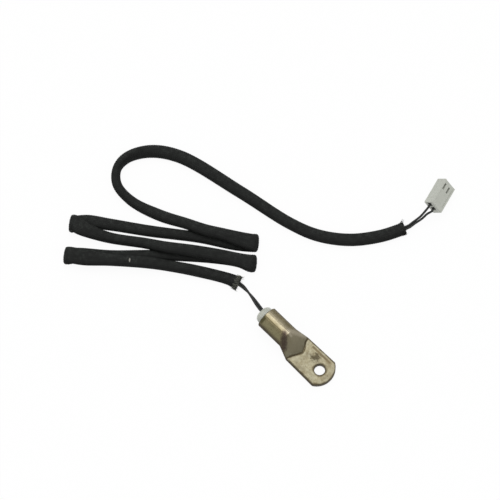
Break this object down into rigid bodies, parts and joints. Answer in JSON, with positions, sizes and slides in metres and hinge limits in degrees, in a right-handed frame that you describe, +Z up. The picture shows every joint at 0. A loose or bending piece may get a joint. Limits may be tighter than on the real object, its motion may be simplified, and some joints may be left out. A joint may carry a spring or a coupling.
{
  "type": "heat sensor",
  "caption": "Thermistor potted in a tubular ring terminal, with a folded braided-sleeve lead ending in a small crimp connector.",
  "frame": {"origin": "centre of the terminal and its potting, on the surface that the palm lies flat on", "axes": "+X along the terminal from the potted mouth to the palm's tip, +Z up out of the palm's flat"},
  "size_m": [0.1223, 0.1294, 0.0101],
  "materials": {
    "terminal_metal": "tinned copper, tarnished, satin",
    "potting": "cast resin, satin",
    "bead": "dipped resin",
    "tinned_wire": "tinned",
    "shrink_sleeve": "shrunk tube",
    "wire_insulation": "satin",
    "braid": "woven braid, matte",
    "housing_plastic": "natural nylon, satin",
    "contact_metal": "tinned"
  },
  "bodies": {
    "root": {"terminal_lug": "terminal_metal", "potting": "potting", "thermistor_bead": "bead", "thermistor_lead_1": "tinned_wire", "thermistor_lead_2": "tinned_wire", "joint_sleeve_1": "shrink_sleeve", "joint_sleeve_2": "shrink_sleeve", "wire_1": "wire_insulation", "wire_2": "wire_insulation", "braided_sleeve": "braid", "connector_housing": "housing_plastic", "contact_1": "contact_metal", "contact_2": "contact_metal"}
  },
  "joints": []
}
